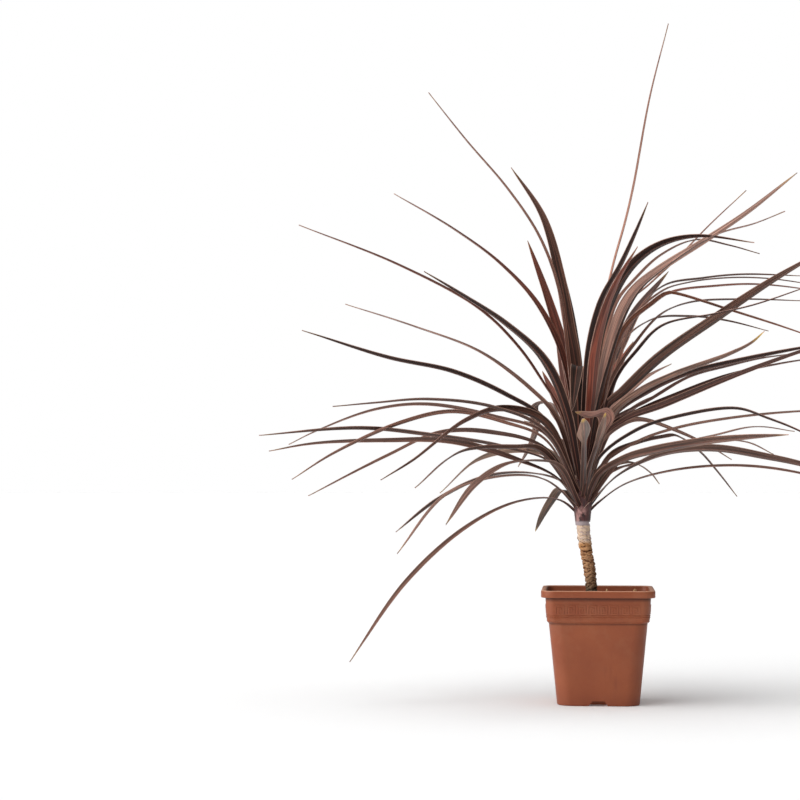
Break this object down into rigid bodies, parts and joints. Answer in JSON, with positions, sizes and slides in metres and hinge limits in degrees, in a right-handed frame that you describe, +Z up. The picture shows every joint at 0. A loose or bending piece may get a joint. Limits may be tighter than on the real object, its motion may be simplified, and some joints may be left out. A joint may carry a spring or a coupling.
{
  "type": "potted red star cabbage tree",
  "caption": "Young cabbage tree with a slim ringed stem and a wide burst of long dark red sword leaves, in a square terracotta-coloured nursery pot with a key-pattern band.",
  "frame": {"origin": "centre of the pot's flat underside, on the surface that it stands on", "axes": "+Z up along the pot's axis, -Y towards the viewer of the picture, +X to the viewer's right"},
  "size_m": [0.9416, 0.9, 1.0561],
  "materials": {
    "pot_plastic": "moulded, satin",
    "potting_soil": "loose and crumbly",
    "stem_bark": "ringed with leaf scars",
    "leaf": "satin, veined along its length"
  },
  "bodies": {
    "root": {"pot": "pot_plastic", "soil": "potting_soil", "stem": "stem_bark", "leaf_crown": "leaf"}
  },
  "joints": []
}
